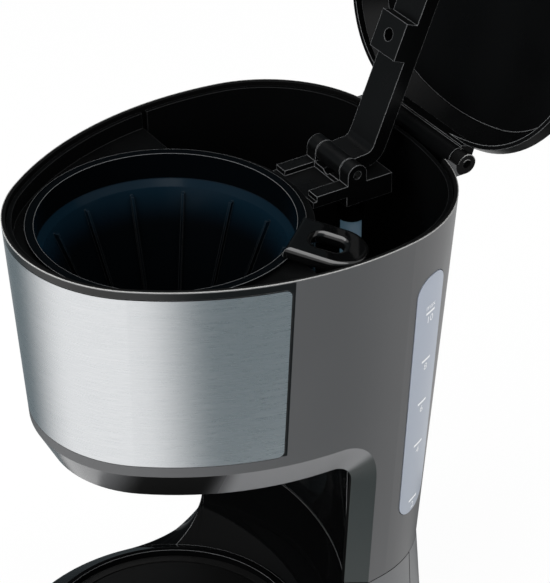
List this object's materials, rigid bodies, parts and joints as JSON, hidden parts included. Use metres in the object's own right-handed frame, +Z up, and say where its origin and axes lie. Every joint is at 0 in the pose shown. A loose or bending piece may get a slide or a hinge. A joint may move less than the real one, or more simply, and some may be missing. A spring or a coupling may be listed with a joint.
{
  "type": "drip coffee maker",
  "caption": "Drip coffee maker: oval tank and brew head over a jug bay with a hot plate, brushed steel front, level window, lift-out filter basket, drip stop, swing spout and hinged lid.",
  "frame": {"origin": "on the table, under the middle of the whole object with its lid open", "axes": "+Z up, the jug bay and steel front face -Y, the level window is on the +X side"},
  "size_m": [0.176, 0.3066, 0.4864],
  "materials": {
    "body_plastic": "satin anthracite moulding",
    "rear_plastic": "satin mid-grey moulding",
    "gloss_black": "polished black moulding",
    "dark_plate": "fine-grained black moulding",
    "front_steel": "brushed along the wrap",
    "window_clear": "translucent smoke-blue with white marks",
    "riser_clear": "translucent tube",
    "pin_steel": "plated steel",
    "hose_silicone": "translucent white silicone",
    "seal_rubber": "black silicone rubber",
    "coated_plate": "black non-stick coating",
    "heater_alloy": "drawn and cast aluminium",
    "fuse_sleeve": "woven glass sleeve",
    "ball_plastic": "moulded ball"
  },
  "bodies": {
    "housing": {"upper_housing": "body_plastic", "basket_well": "body_plastic", "rear_cover": "rear_plastic", "water_tank": "gloss_black", "outlet_block": "gloss_black", "base_housing": "gloss_black", "bay_liner": "gloss_black", "switch_housing": "gloss_black", "check_cage": "gloss_black", "base_plate": "dark_plate", "steel_wrap": "front_steel", "level_window": "window_clear", "riser_tube": "riser_clear", "hinge_pin": "pin_steel", "spout_pin": "pin_steel", "base_screws": "pin_steel", "column_screws": "pin_steel", "clamp_screw": "pin_steel", "hose_clamps": "pin_steel", "heater_clamp": "pin_steel", "cold_hose": "hose_silicone", "hot_hose": "hose_silicone", "plate_seal": "seal_rubber", "rubber_feet": "seal_rubber", "cord_gland": "seal_rubber", "hot_plate": "coated_plate", "heat_spreader": "heater_alloy", "water_tube": "heater_alloy", "heating_element": "heater_alloy", "thermostat": "heater_alloy", "thermal_fuses": "fuse_sleeve"},
    "lid": {"lid_shell": "gloss_black", "lid_panel": "gloss_black"},
    "spout": {"spout_arm": "gloss_black"},
    "basket": {"filter_basket": "gloss_black", "basket_handle": "gloss_black", "drip_spring": "pin_steel"},
    "drip_stop": {"drip_plunger": "gloss_black", "drip_seal": "seal_rubber"},
    "rocker": {"rocker": "gloss_black"},
    "valve_ball": {"check_ball": "ball_plastic"}
  },
  "joints": [
    {"name": "lid_hinge", "type": "hinge", "parent": "housing", "child": "lid", "pos_m": [0, 0.0695, 0.289], "axis": [-1, 0, 0], "range_deg": [-108, 0]},
    {"name": "spout_swing", "type": "hinge", "parent": "housing", "child": "spout", "pos_m": [0, 0.0248, 0.2865], "axis": [-1, 0, 0], "range_deg": [-112, 0]},
    {"name": "basket_lift", "type": "slide", "parent": "housing", "child": "basket", "axis": [0, 0, 1], "range_m": [0, 0.12]},
    {"name": "drip_stop", "type": "slide", "parent": "basket", "child": "drip_stop", "axis": [0, 0, 1], "range_m": [0, 0.004], "stiffness_N_per_m": 150, "springref_m": -0.004, "deforming": ["drip_spring"]},
    {"name": "switch_rocker", "type": "hinge", "parent": "housing", "child": "rocker", "pos_m": [0, -0.1479, 0.018], "axis": [1, 0, 0], "range_deg": [0, 14]},
    {"name": "check_ball", "type": "slide", "parent": "housing", "child": "valve_ball", "axis": [0, 0, 1], "range_m": [0, 0.002]}
  ],
  "couplings": [
    {"joint": "spout_swing", "follows": "lid_hinge", "ratio": 1.037}
  ]
}
